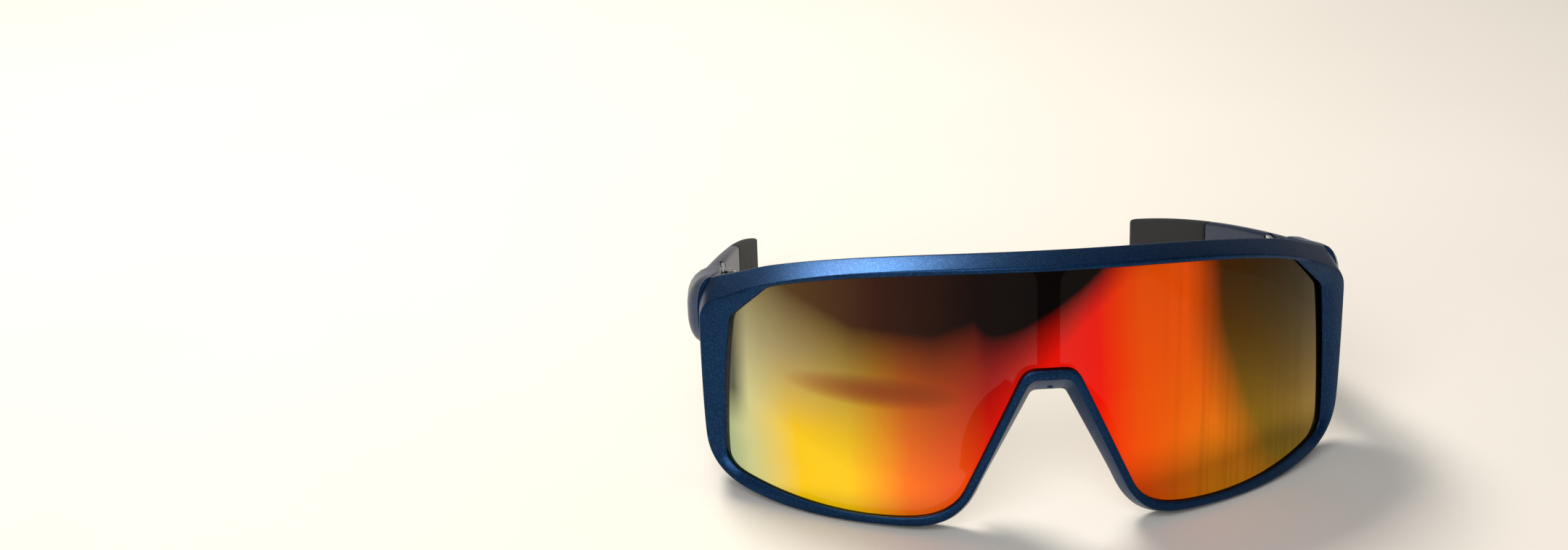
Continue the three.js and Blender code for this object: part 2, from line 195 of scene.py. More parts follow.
# Half outlines of the rim, from the brow's middle round the side and the lobe to the nose's middle. A
# point is (x, z, height proud of the front's wrap). A segment is a straight, quadratic or cubic curve.
OPENING = [
    (0, 55.7, 1.1),
    [(25, 55.7, 1.1), (45, 54.6, 1.1), (58.6, 49.7, 1.3)],
    [(63.6, 44.8, 1.7)],
    [(65.1, 43.3, 1.9), (66.5, 41.9, 2)],
    [(67.7, 35, 2), (68.9, 15, 1.9), (68.3, 9, 1.8)],
    [(67.9, 6.3, 1.7), (64.5, 5, 1.6)],
    [(56, 1.7, 1.3), (46, 0, 1.1), (36, 0, 1.1)],
    [(29, 0.1, 1.1), (22.5, 0.2, 1.1), (18.8, 6.1, 1.1)],
    [(6.7, 31.7, 1.1)],
    [(5.6, 34, 1.1), (3.2, 34, 1.1)],
    [(0, 34, 1.1)],
]
CREASE = [
    (0, 56.9, 1.1),
    [(26, 56.9, 1.1), (47, 56.1, 1.2), (63.3, 48.7, 2)],
    [(70.8, 44.8, 3.4)],
    [(72.6, 43.6, 3.9), (73.3, 41, 4.2)],
    [(73.3, 33, 4.2), (73.2, 20, 4), (72.7, 13, 3.8)],
    [(72, 5.4, 3.4), (65.1, 2.2, 2.4)],
    [(57, -1.1, 1.6), (47, -1.8, 1.1), (37.5, -1.8, 1.1)],
    [(28.5, -1.8, 1.1), (22.2, -2.5, 1.1), (17.2, 5.4, 1.1)],
    [(5.7, 29.8, 1.1)],
    [(4.6, 31.9, 1.1), (2.9, 31.9, 1.1)],
    [(0, 31.9, 1.1)],
]
OUTER = [
    (0, 59.2, -3.5),
    [(26, 59.2, -3.5), (44, 57.6, -3.5), (58.5, 53.1, -3)],
    [(69.8, 48.7, -1.6)],
    [(72.6, 46.8, -1.2), (73, 41.4, -0.6)],
    [(73, 33, -0.4), (72.9, 20, -0.4), (72.4, 13.4, -0.4)],
    [(71.8, 4.9, -0.5), (65, 1.5, -0.8)],
    [(57, -1.6, -1), (47, -2.3, -1.2), (37.8, -2.3, -1.2)],
    [(28.5, -2.2, -1.4), (19.2, -5.3, -2), (14, 8.3, -3)],
    [(4.1, 27.3, -3)],
    [(3.7, 28.3, -3), (2.4, 28.3, -3)],
    [(0, 28.3, -3)],
]
SEGMENT_STEPS = [40, 10, 10, 20, 16, 24, 30, 14, 10, 5]
SIDE_START = sum(SEGMENT_STEPS[:3])  # the opening's side is its fourth segment
SIDE_END = SIDE_START + SEGMENT_STEPS[3]
SOFTENINGS = 2


def sample(outline):
    """Matching stations along a half outline, as Vector((x, proud, z)), its corners softened a little."""
    def vector(point):
        return Vector((point[0], point[2], point[1]))

    start = vector(outline[0])
    points = []
    for steps, segment in zip(SEGMENT_STEPS, outline[1:]):
        knots = [start] + [vector(point) for point in segment]
        points += [bezier(knots, i / steps) for i in range(steps)]
        start = knots[-1]
    points.append(start)
    for _ in range(SOFTENINGS):
        inner = [(a + b * 2 + c) / 4 for a, b, c in zip(points, points[1:], points[2:])]
        points = [points[0]] + inner + [points[-1]]
    return points


# --- Front frame ----------------------------------------------------------------------------------


def rim_section(opening, crease, outer):
    """The rim's section at one station: lip, crowned front face, crease, bevel, back and lens groove."""
    # The rim gets thinner toward the sides, by up to a millimetre.
    back = -RIM_BACK + min(1, abs(opening.x) / 70) ** 2
    across = Vector((crease.x - opening.x, 0, crease.z - opening.z)).normalized()
    seat = opening + across * (LENS_SEAT + GAP)

    def at(point, proud):
        return Vector((point.x, proud, point.z))

    def by_lens(point, proud):
        return at(point, over_wrap(point.x, proud))

    crown = opening.lerp(crease, 0.5)
    crown.y += 0.12
    corners = [
        (by_lens(seat, GAP), 0.05),
        (by_lens(opening, GAP), 0.1),
        (opening, 0.4),
        (crown, 0.8),
        (crease, 0.3),
        (outer, 0.6),
        (at(opening.lerp(outer, 0.92), back), 0.6),
        (at(opening.lerp(outer, 0.2), back), 0.5),
        (at(opening, back + 0.6), 0.3),
        (by_lens(opening, -LENS_THICKNESS - GAP), 0.1),
        (by_lens(seat, -LENS_THICKNESS - GAP), 0.05),
    ]
    return rounded(corners)


def make_rim():
    """The whole rim as one closed loop of sections, cut flat where it stands on the table."""
    stations = zip(sample(OPENING), sample(CREASE), sample(OUTER))
    half = [rim_section(*station) for station in stations]
    whole = half + [[Vector((-p.x, p.y, p.z)) for p in ring] for ring in half[-2:0:-1]]
    return loft("rim", [[on_table(wrap(p.x, p.z, p.y)) for p in ring] for ring in whole], closed=True)


def on_table(point):
    """The point, lifted to the table where it would reach below."""
    return Vector((point.x, point.y, max(point.z, 0.0)))


def bar_ring(side, y, inner, outer, low, high, radii):
    """A bar's section at one depth, between two x and two z values, with elliptical corners.

    radii are (across, up) for the upper outer, upper inner, lower inner and lower outer corner.
    """
    corners = [(outer, high, -1, -1), (inner, high, 1, -1), (inner, low, 1, 1), (outer, low, -1, 1)]
    steps = 6
    ring = []
    for i, ((x, z, right, up), (across, tall)) in enumerate(zip(corners, radii)):
        for k in range(steps + 1):
            turn = k / steps if i % 2 == 0 else 1 - k / steps
            along = x + right * across * (1 - math.cos(turn * math.pi / 2))
            height = z + up * tall * (1 - math.sin(turn * math.pi / 2))
            ring.append(on_table(row(side * along, y, height)))
    return ring


# The end piece's sections: depth, inner and outer x, low and high z, and its upper shoulder across and up.
LUG_SECTIONS = [
    (33.5, 69.6, 73.4, 32.6, 48.4, 3.3, 6.6),
    (38.0, 68.6, 75.3, 32.3, 47.9, 5.8, 6.8),
    (44.0, 67.4, 75.4, 32.8, 47.0, 6.4, 6.8),
    (LUG_END, LEAF_OUTER + GAP, 75.0, 33.6, 46.0, 6.4, 6.4),
]


def make_lug(side):
    """The end piece, with a smooth run between its sections and a small bevel at its end."""
    rows = []
    for i, (a, b) in enumerate(zip(LUG_SECTIONS, LUG_SECTIONS[1:])):
        before = LUG_SECTIONS[max(i - 1, 0)]
        after = LUG_SECTIONS[min(i + 2, len(LUG_SECTIONS) - 1)]
        rows += [catmull(before, a, b, after, k / 6) for k in range(6)]
    y, inner, outer, low, high, across, up = LUG_SECTIONS[-1]
    bevel = 0.35
    rows.append((y - bevel, inner, outer, low, high, across, up))
    rows.append((y, inner + bevel, outer - bevel, low + bevel, high - bevel, across, up))
    rings = []
    for y, inner, outer, low, high, across, up in rows:
        radii = [(across, up), (0.8, 0.8), (0.8, 0.8), (2.4, 5.5)]
        rings.append(bar_ring(side, y, inner, outer, low, high, radii))
    return loft("lug", rings)


def catmull(before, a, b, after, t):
    """A smooth value between a and b, with the run of their neighbours, for tuples of numbers."""
    def blend(p, q, r, s):
        slope = r - p
        bend = 2 * p - 5 * q + 4 * r - s
        twist = 3 * q - p - 3 * r + s
        return 0.5 * (2 * q + slope * t + bend * t * t + twist * t ** 3)

    return tuple(blend(*values) for values in zip(before, a, b, after))


def make_strut():
    """The strut behind the lens, from the nose bridge up to the brow, where it widens into fillets."""
    foot, brow = 30.5, 57.0
    half_width, flare, flare_height = 2.4, 5.0, 5.5
    front, back = LENS_THICKNESS + GAP, RIM_BACK - 0.2
    rings = []
    steps = 24
    for i in range(steps + 1):
        z = foot + (brow - foot) * i / steps
        spread = max(0.0, (z - (brow - flare_height)) / flare_height)
        width = half_width + flare * spread ** 2.5
        corners = [
            (Vector((-width, front, z)), 0.2),
            (Vector((width, front, z)), 0.2),
            (Vector((width, back, z)), 0.7),
            (Vector((-width, back, z)), 0.7),
        ]
        rings.append([row(*p) for p in rounded(corners)])
    return loft("strut", rings)


def make_gate_mark():
    """The small moulding mark under the nose bridge."""
    centre = Vector((0.2, 1.9, 29.33))
    half_length, half_height = 0.7, 0.3
    steps, sides = 8, 12
    rings = []
    for i in range(1, steps):
        angle = math.pi * i / steps
        radius = half_height * math.sin(angle)
        x = centre.x - math.cos(angle) * half_length
        ring = []
        for k in range(sides):
            turn = math.tau * k / sides
            ring.append(row(x, centre.y + radius * math.cos(turn), centre.z + radius * math.sin(turn)))
        rings.append(ring)
    return loft("gate_mark", rings)


# --- Lens -----------------------------------------------------------------------------------------


def lens_edges():
    """The lens's upper and lower edges for x > 0, as (x, z) lists with x rising."""
    points = sample(OPENING)
    pushed = []
    for i, point in enumerate(points):
        before = points[max(i - 1, 0)]
        after = points[min(i + 1, len(points) - 1)]
        along = Vector((after.x - before.x, after.z - before.z)).normalized()
        pushed.append((point.x - along.y * LENS_SEAT, point.z + along.x * LENS_SEAT))
    return pushed[:SIDE_START + 1], pushed[SIDE_END:][::-1]


def height_at(edge, x):
    """Height of an edge at x, read along straight pieces and carried straight on past its ends."""
    i = 1
    while i < len(edge) - 1 and edge[i][0] < x:
        i += 1
    (ax, az), (bx, bz) = edge[i - 1], edge[i]
    return az + (x - ax) / (bx - ax) * (bz - az)


def make_lens():
    """The curved shield: a mirror-coated front face, and a tinted back face and edge."""
    upper, lower = lens_edges()
    side = OPENING_HALF_WIDTH + LENS_SEAT
    columns = 150
    rows = 14
    inset = 0.12  # keeps the upper and lower edges clear of the groove's floor
    half = [side * math.sin(math.pi / 2 * i / (columns / 2)) for i in range(columns // 2 + 1)]
    xs = [-x for x in half[:0:-1]] + half
    bm = bmesh.new()
    grids = []
    for proud in (0, -LENS_THICKNESS):
        grid = []
        for x in xs:
            top, bottom = height_at(upper, abs(x)), height_at(lower, abs(x))
            column = []
            for k in range(rows + 1):
                z = bottom + (top - bottom) * k / rows
                if k == 0:
                    z += inset
                elif k == rows:
                    z -= inset
                column.append(bm.verts.new(row(x, depth_on(LENS_RADIUS, x, proud), z)))
            grid.append(column)
        grids.append(grid)
    front, back = grids
    for i in range(len(xs) - 1):
        for k in range(rows):
            bm.faces.new((front[i][k], front[i + 1][k], front[i + 1][k + 1], front[i][k + 1]))
            face = bm.faces.new((back[i][k + 1], back[i + 1][k + 1], back[i + 1][k], back[i][k]))
            face.material_index = 1

    def edge_face(*corners):
        bm.faces.new(corners).material_index = 1

    for i in range(len(xs) - 1):
        edge_face(front[i + 1][0], front[i][0], back[i][0], back[i + 1][0])
        edge_face(front[i][rows], front[i + 1][rows], back[i + 1][rows], back[i][rows])
    for k in range(rows):
        edge_face(front[0][k], front[0][k + 1], back[0][k + 1], back[0][k])
        edge_face(front[-1][k + 1], front[-1][k], back[-1][k], back[-1][k + 1])
    bmesh.ops.recalc_face_normals(bm, faces=bm.faces)
    mesh = bpy.data.meshes.new("lens")
    bm.to_mesh(mesh)
    bm.free()
    mesh.shade_smooth()
    mesh.set_sharp_from_angle(angle=LENS_SHARP)
    return make_object("lens", mesh)


# --- Nose pads ------------------------------------------------------------------------------------

NOSE_FOOT = Vector((14.7, 8.6))
NOSE_SHOULDER = Vector((4.8, 27.7))
NOSE_NORMAL = Vector((0.89, 0.456))
PAD_FRONT = RIM_BACK + 1.7

# lowest and highest are shares of the way up the nose opening's side; the rest are in millimetres.
PAD_SHAPE = {"lowest": -0.06, "highest": 0.98, "reach": 7.4, "flare": 3.7, "offset": 0.3, "thickness": 1.5}
PAD_ARM_SHAPE = {"lowest": 0.2, "highest": 0.8, "reach": 5.2, "flare": 2.4, "offset": 2.4, "thickness": 1.1}


def nose_blade(name, side, lowest, highest, reach, flare, offset, thickness):
    """A blade up the side of the nose opening that flares outward toward the back, with rounded ends."""
    rings = []
    steps = 28
    for i in range(steps + 1):
        share = i / steps
        held = min(0.94, max(0.06, share))
        swell = 0.35 + 0.65 * math.sin(math.pi * held) ** 0.7
        foot = NOSE_FOOT.lerp(NOSE_SHOULDER, lowest + (highest - lowest) * share)
        depth = reach * swell
        middle = (GAP + depth) / 2
        lean = flare * swell
        thin = thickness * (0.55 if i in (0, steps) else 1)
        inner = offset + (thickness - thin) / 2
        outer = inner + thin

        def point(back, out):
            spot = foot + NOSE_NORMAL * out
            return Vector((spot.x, PAD_FRONT + back, spot.y))

        corners = [
            (point(GAP, inner), 0.3),
            (point(middle, inner + lean * 0.35), 2.0),
            (point(depth, inner + lean), 0.6),
            (point(depth, outer + lean), 0.6),
            (point(middle, outer + lean * 0.35), 2.0),
            (point(GAP, outer), 0.3),
        ]
        rings.append([row(side * p.x, p.y, p.z) for p in rounded(corners, 4)])
    return loft(name, rings)


# --- Temples --------------------------------------------------------------------------------------

ROOT_THICKNESS = 7.4  # at the hinge
TEMPLE_THICKNESS = 3.0  # where the root's swelling has run out
TEMPLE_TOP = 45.2  # height of the upper edge at the hinge
TEMPLE_SLOPE = 0.118  # how steeply that edge falls at the hinge
TEMPLE_DROOP = 0.00082  # its further fall, times the square of the run
TEMPLE_DEPTH = 11.6  # from the upper to the lower edge at the hinge
END_BEVEL = 0.25
PATH_LENGTH = 95  # about; it turns the bevel into a share of the path
PATH = [Vector((LEAF_OUTER + GAP, LUG_END + GAP)), Vector((61.5, 93.0)), Vector((53.0, TEMPLE_TIP))]


def temple_ring(side, share, shrink=(0.0, 0.0), rounding=1.1):
    """The temple's section at a share of its inner face's path, drawn in by shrink at its sides and edges.

    Its upper outer edge is a broad shoulder at the hinge that narrows to the plain edge rounding.
    """
    spot = bezier(PATH, share)
    run = spot.y - LUG_END
    root = (1 - share) ** 3  # what is left of the swelling at the hinge
    outer = spot.x + TEMPLE_THICKNESS + (ROOT_THICKNESS - TEMPLE_THICKNESS) * root
    high = TEMPLE_TOP - TEMPLE_SLOPE * run - TEMPLE_DROOP * run * run
    # The bar deepens toward its tip.
    low = high - (TEMPLE_DEPTH + 0.3 * share + 1.3 * share ** 3)
    plain = (rounding, rounding)
    radii = [(rounding + 5 * root, rounding + 5.2 * root), plain, plain, plain]
    across, level = shrink
    return bar_ring(side, spot.y, spot.x + across, outer - across, low + level, high - level, radii)


def tongue_ring(side, share, clearance=0.0):
    """The section of the tongue that carries the sleeve, grown by a clearance for the sleeve's pocket."""
    return temple_ring(side, share, (0.95 - clearance, 2.3 - clearance), 0.5)


def spread(start, end, steps):
    """Evenly spaced numbers from start to end, both among them."""
    return [start + (end - start) * i / steps for i in range(steps + 1)]


def make_temple(name, side):
    """The temple: its full section up to the sleeve, with a small bevel at both ends, then the tongue."""
    step = END_BEVEL / PATH_LENGTH
    rings = [temple_ring(side, 0, (END_BEVEL, END_BEVEL))]
    rings += [temple_ring(side, share) for share in spread(step, SLEEVE_START - step, 30)]
    rings.append(temple_ring(side, SLEEVE_START, (END_BEVEL, END_BEVEL)))
    rings += [tongue_ring(side, share) for share in spread(SLEEVE_START, TONGUE_END, 20)]
    # The hinge leaf lies in a pocket in the inner face.
    pocket_low = (60, 50, 34.5)
    pocket_high = (LEAF_OUTER + GAP, LEAF_END + 0.5, 44.6)
    return cut_box(loft(name, rings), side, pocket_low, pocket_high)


def make_sleeve(name, side):
    """The rubber sleeve: a pocket for the tongue, then the same section outside, rounded off at its tip."""
    start = SLEEVE_START + 0.004
    pocket_end = TONGUE_END + 0.01
    tip = 0.975
    rings = [tongue_ring(side, share, GAP) for share in spread(pocket_end, start, 20)]
    rings.append(temple_ring(side, start, (END_BEVEL, END_BEVEL)))
    rings += [temple_ring(side, share) for share in spread(start + 0.003, tip, 30)]
    for angle in (25, 45, 62, 76, 88):
        turn = math.radians(angle)
        share = tip + (1 - tip) * math.sin(turn)
        drawn_in = 1 - math.cos(turn)
        rings.append(temple_ring(side, share, (drawn_in, 2.2 * drawn_in), 0.5))
    return loft(name, rings)


# --- Materials ------------------------------------------------------------------------------------


class Finish:
    """A Principled material with short helpers for the nodes that drive it."""

    def __init__(self, name):
        self.material = bpy.data.materials.new(name)
        self.material.use_nodes = True
        self.tree = self.material.node_tree
        self.shader = self.tree.nodes["Principled BSDF"]
        self.place = self.node("ShaderNodeTexCoord").outputs["Object"]

    def node(self, kind, **settings):
        made = self.tree.nodes.new(kind)
        for key, value in settings.items():
            setattr(made, key, value)
        return made

    def link(self, source, target):
        self.tree.links.new(source, target)

    def set(self, **values):
        """Plain values on the shader's own sockets; an underscore in a key stands for a space."""
        for key, value in values.items():
            self.shader.inputs[key.replace("_", " ")].default_value = value

    def math(self, operation, a, b=None, c=None, clamp=False):
        """The output of a math node on up to three values, each a number or another node's output."""
        made = self.node("ShaderNodeMath", operation=operation, use_clamp=clamp)
        for socket, value in zip(made.inputs, (a, b, c)):
            if value is None:
                continue
            if isinstance(value, (int, float)):
                socket.default_value = value
            else:
                self.link(value, socket)
        return made.outputs[0]

    def stretched(self, x, y, z):
        """The place on the piece, with each axis scaled."""
        made = self.node("ShaderNodeVectorMath", operation="MULTIPLY")
        self.link(self.place, made.inputs[0])
        made.inputs[1].default_value = (x, y, z)
        return made.outputs[0]

    def noise(self, scale, detail=2.0, vector=None, distortion=0.0):
        made = self.node("ShaderNodeTexNoise")
        self.link(vector or self.place, made.inputs["Vector"])
        made.inputs["Scale"].default_value = scale
        made.inputs["Detail"].default_value = detail
        made.inputs["Distortion"].default_value = distortion
        return made.outputs["Fac"]

    def ramp(self, value, stops):
        """Colours or grey levels against a value from 0 to 1."""
        made = self.node("ShaderNodeValToRGB")
        made.color_ramp.interpolation = "LINEAR"
        elements = made.color_ramp.elements
        while len(elements) < len(stops):
            elements.new(0.5)
        for element, (position, colour) in zip(elements, stops):
            element.position = position
            levels = (colour, colour, colour) if isinstance(colour, (int, float)) else colour
            element.color = (*levels, 1)
        self.link(value, made.inputs["Fac"])
        return made.outputs["Color"]

    def mix(self, factor, a, b):
        """Colour a turned into colour b by a factor from 0 to 1."""
        made = self.node("ShaderNodeMix", data_type="RGBA", blend_type="MIX")
        for socket, value in ((made.inputs[0], factor), (made.inputs[6], a), (made.inputs[7], b)):
            if isinstance(value, (int, float)):
                socket.default_value = value
            elif isinstance(value, tuple):
                socket.default_value = (*value, 1)
            else:
                self.link(value, socket)
        return made.outputs[2]

    def bump(self, height, distance, strength=1.0, after=None):
        made = self.node("ShaderNodeBump")
        made.inputs["Strength"].default_value = strength
        made.inputs["Distance"].default_value = distance
        self.link(height, made.inputs["Height"])
        if after:
            self.link(after, made.inputs["Normal"])
        return made.outputs["Normal"]

    def drive(self, key, source):
        self.link(source, self.shader.inputs[key])


def flake_plastic(name, dark, light, gloss):
    """Satin moulded nylon with fine metal flakes."""
    finish = Finish(name)
    finish.set(Metallic=0.92, IOR=1.5, Coat_Weight=0.02, Coat_Roughness=0.25)
    flake_scale = 5200
    cloud = finish.noise(90, 3)
    grain = finish.noise(flake_scale, 2)
    base = finish.mix(finish.math("MULTIPLY_ADD", cloud, 0.8, -0.1, clamp=True), dark, light)
    flakes = finish.node("ShaderNodeTexVoronoi", feature="F1")
    finish.link(finish.place, flakes.inputs["Vector"])
    flakes.inputs["Scale"].default_value = flake_scale
    sparkle = finish.node("ShaderNodeSeparateColor")
    finish.link(flakes.outputs["Color"], sparkle.inputs[0])
    bright = finish.ramp(sparkle.outputs[0], [(0.0, 0.0), (0.72, 0.0), (1.0, 1.0)])
    glint = tuple(min(1, value * 2.6 + 0.03) for value in light)
    finish.drive("Base Color", finish.mix(finish.math("MULTIPLY", bright, 0.3), base, glint))
    finish.drive("Roughness", finish.math("MULTIPLY_ADD", grain, 0.16, gloss - 0.08))
    soft = finish.bump(grain, 0.00002, 0.35)
    finish.drive("Normal", finish.bump(sparkle.outputs[1], 0.00001, 0.3, after=soft))
    return finish.material


def rubber(name, colour, gloss):
    """Soft moulded rubber: fine stipple, and faint smears where it is handled."""
    finish = Finish(name)
    finish.set(Metallic=0.0, IOR=1.27, Sheen_Weight=0.02, Sheen_Roughness=0.5)
    smear = finish.noise(140, 4, distortion=0.6)
    stipple = finish.noise(3600, 3)
    lighter = tuple(value * 1.9 + 0.001 for value in colour)
    finish.drive("Base Color", finish.mix(smear, colour, lighter))
    finish.drive("Roughness", finish.math("MULTIPLY_ADD", smear, 0.2, gloss - 0.1))
    finish.drive("Normal", finish.bump(stipple, 0.00003, 0.5))
    return finish.material


def steel(name, stretch):
    """Brushed steel: streaks drawn out by the given stretch."""
    finish = Finish(name)
    finish.set(Metallic=1.0)
    streaks = finish.noise(2600, 4, vector=finish.stretched(*stretch))
    finish.drive("Base Color", finish.ramp(streaks, [(0.2, (0.36, 0.36, 0.37)), (0.8, (0.66, 0.66, 0.67))]))
    finish.drive("Roughness", finish.math("MULTIPLY_ADD", streaks, 0.25, 0.2))
    finish.drive("Normal", finish.bump(streaks, 0.00001, 0.4))
    return finish.material


def shade(red, green, blue):
    """A colour given as display values from 0 to 255, in the linear values that a shader takes."""
    levels = (red / 255, green / 255, blue / 255)
    return tuple(((level + 0.055) / 1.055) ** 2.4 if level > 0.04 else level / 12.92 for level in levels)


def coat_colours(finish, across):
    """The mirror coating's hue from the lens's left edge to its right one."""
    grey_green = shade(150, 175, 140)
    pale_green = shade(208, 213, 155)
    yellow = shade(255, 210, 0)
    orange = shade(255, 118, 10)
    deep_red = shade(228, 20, 8)
    scarlet = shade(255, 20, 0)
    vermilion = shade(252, 88, 0)
    brown = shade(72, 38, 0)
    olive = shade(58, 48, 4)
    return finish.ramp(across, [
        (0.0, grey_green), (0.04, pale_green), (0.12, yellow), (0.19, yellow), (0.28, orange),
        (0.4, deep_red), (0.58, scarlet), (0.65, vermilion), (0.71, vermilion), (0.775, brown), (0.95, olive),
    ])


def coat_and_painted_reflections(finish, place, across, up, on_right):
    """The coating's hues outside the painted dark reflection, with painted reflections: a glow sweeping out
    on the right, streaks and a smudge.
    """
    x, z = place
    # On the right a painted glow, a reflection of bright light, sweeps the warm colours out toward the lower
    # corner and turns them golden.
    down = finish.math("SUBTRACT", 1.0, up, clamp=True)
    painted_glow = finish.math("MULTIPLY", finish.math("POWER", down, 2.0), on_right)
    slow = finish.noise(30, 2, distortion=0.4)
    shifted = finish.math("MULTIPLY_ADD", painted_glow, -0.15, across)
    shifted = finish.math("ADD", shifted, finish.math("MULTIPLY_ADD", slow, 0.05, -0.025))
    coat = coat_colours(finish, shifted)
    coat = finish.mix(finish.math("MULTIPLY", painted_glow, 0.62), coat, shade(228, 180, 14))
    # The left end pales upward, above the yellow.
    on_left = finish.math("MULTIPLY_ADD", across, -8, 1.9, clamp=True)
    pale = finish.math("MULTIPLY", on_left, finish.math("MULTIPLY_ADD", up, 3.2, -1.0, clamp=True))
    coat = finish.mix(finish.math("MULTIPLY", pale, 0.75), coat, shade(206, 200, 158))
    # Fine dark streaks of painted reflection run down the right side.
    streaks = finish.noise(1, 3, vector=finish.stretched(650, 0, 20))
    streaks = finish.math("MULTIPLY_ADD", streaks, 4.0, -1.7, clamp=True)
    painted_streaks = finish.math("MULTIPLY", on_right, streaks)
    coat = finish.mix(finish.math("MULTIPLY", painted_streaks, 0.22), coat, shade(92, 46, 6))
    # A long soft smudge of painted reflection lies across the yellow: an ellipse, its place and size in
    # metres.
    centre_x, centre_z, half_long, half_tall = -0.037, 0.031, 0.017, 0.0034
    painted_reflection_x = finish.math("MULTIPLY_ADD", x, 1 / half_long, -centre_x / half_long)
    painted_reflection_z = finish.math("MULTIPLY_ADD", z, 1 / half_tall, -centre_z / half_tall)
    reach = finish.math("ADD", finish.math("POWER", painted_reflection_x, 2.0), finish.math("POWER", painted_reflection_z, 2.0))
    painted_reflection = finish.math("MULTIPLY", finish.math("MULTIPLY_ADD", reach, -0.8, 1.0, clamp=True), 0.85)
    return finish.mix(painted_reflection, coat, shade(188, 72, 8))


def painted_dark_share(finish, across, up):
    """How far a painted dark reflection covers the coating: toward the brow, most of all left of the middle.
    """
    edge = finish.ramp(across, [
        (0.0, 0.76), (0.1, 0.57), (0.2, 0.46), (0.32, 0.45), (0.4, 0.53), (0.5, 0.74), (0.62, 1.0),
    ])
    steep = finish.math("MULTIPLY_ADD", across, 6, -2.3, clamp=True)
    steep = finish.math("MULTIPLY_ADD", steep, 4.8, 1.7)
    painted_dark = finish.math("MULTIPLY_ADD", finish.math("SUBTRACT", up, edge), steep, 0.5, clamp=True)
    late = finish.math("MULTIPLY_ADD", across, 8, -4.6, clamp=True)
    painted_dark = finish.math("MULTIPLY", painted_dark, finish.math("MULTIPLY_ADD", late, -1.0, 1.0))
    # The painted dark reflection also darkens the right side softly toward its upper corner.
    painted_dark_corner = finish.math("MULTIPLY", finish.math("MULTIPLY_ADD", across, 5, -3.7, clamp=True), up)
    return finish.math("MAXIMUM", painted_dark, finish.math("MULTIPLY", painted_dark_corner, 0.8))


def painted_dark_colours(finish, across):
    """The painted dark reflection's hue from the lens's left edge to its right one."""
    khaki = shade(104, 94, 60)
    cocoa = shade(84, 58, 30)
    chestnut = shade(52, 24, 14)
    maroon = shade(17, 4, 3)
    near_black = shade(6, 2, 2)
    bronze = shade(24, 14, 4)
    dark_olive = shade(26, 26, 12)
    return finish.ramp(across, [
        (0.0, khaki), (0.12, cocoa), (0.24, chestnut), (0.38, maroon), (0.5, near_black), (0.8, bronze),
        (1.0, dark_olive),
    ])


def mirror_coating():
    """The lens's front: a mirror coating whose colour runs from pale green through red to olive, with painted
    reflections on it, dark toward the brow.
    """
    finish = Finish("mirror_coating")
    finish.set(Metallic=0.97, IOR=1.58, Coat_Weight=0.02, Coat_Roughness=0.03)
    split = finish.node("ShaderNodeSeparateXYZ")
    finish.link(finish.place, split.inputs[0])
    x, z = split.outputs["X"], split.outputs["Z"]
    # Shares of the lens's width from the left and of its height from below.
    lens_low, lens_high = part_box("shield_lens")
    wide = lens_high.x - lens_low.x
    tall = lens_high.z - lens_low.z
    across = finish.math("MULTIPLY_ADD", x, 1 / wide, 0.5)
    up = finish.math("MULTIPLY_ADD", z, 1 / tall, -lens_low.z / tall)
    on_right = finish.math("MULTIPLY_ADD", across, 8, -5.2, clamp=True)
    coat = coat_and_painted_reflections(finish, (x, z), across, up, on_right)
    painted_dark = painted_dark_share(finish, across, up)
    # The painted dark reflection is laid over the coating's hues.
    colour = finish.mix(painted_dark, coat, painted_dark_colours(finish, across))
    # What is behind the lens shows faintly, and least under the painted dark reflection and on the right.
    solid_share = finish.math("MAXIMUM", painted_dark, finish.math("MULTIPLY_ADD", across, 6, -2.6, clamp=True))
    finish.drive("Alpha", finish.math("MULTIPLY_ADD", solid_share, 0.07, 0.92))
    # A narrow dark band of painted reflection runs along the far left edge.
    painted_left_band = finish.math("MULTIPLY_ADD", across, -45, 1.9, clamp=True)
    painted_band_height = finish.ramp(up, [(0.25, 0.0), (0.4, 0.85), (0.75, 0.85), (0.9, 0.3)])
    colour = finish.mix(finish.math("MULTIPLY", painted_left_band, painted_band_height), colour, shade(38, 42, 32))
    finish.drive("Base Color", colour)
    finish.drive("Roughness", finish.math("MULTIPLY_ADD", finish.noise(60, 3), 0.04, 0.03))
    return finish.material


def tinted_back():
    """The lens's back and edge: glossy grey-brown tint."""
    finish = Finish("tinted_back")
    finish.set(Metallic=0.1, IOR=1.58, Alpha=0.6, Coat_Weight=0.3)
    smear = finish.noise(70, 3, distortion=0.5)
    finish.drive("Base Color", finish.mix(smear, (0.03, 0.02, 0.018), (0.06, 0.035, 0.025)))
    finish.drive("Roughness", finish.math("MULTIPLY_ADD", smear, 0.08, 0.04))
    return finish.material


def floor_material():
    finish = Finish("floor")
    cloud = finish.noise(6, 3)
    finish.drive("Base Color", finish.mix(cloud, (0.64, 0.6, 0.54), (0.71, 0.67, 0.61)))
    finish.set(Roughness=0.7)
    return finish.material


# --- Assembly -------------------------------------------------------------------------------------


def build_front():
    navy = flake_plastic("navy_nylon", (0.0032, 0.021, 0.064), (0.0055, 0.037, 0.108), 0.36)
    pieces = [
        (make_rim(), "rim"),
        (make_lug(RIGHT), "end_piece_right"),
        (make_lug(LEFT), "end_piece_left"),
        (make_strut(), "centre_strut"),
        (make_gate_mark(), "gate_mark"),
    ]
    for piece, name in pieces:
        piece.name = name
        finish_piece(piece, "front", navy, ["front_frame"])
    lens = make_lens()
    lens.data.materials.append(mirror_coating())
    lens.data.materials.append(tinted_back())
    finish_piece(lens, "front", None, ["shield_lens"])


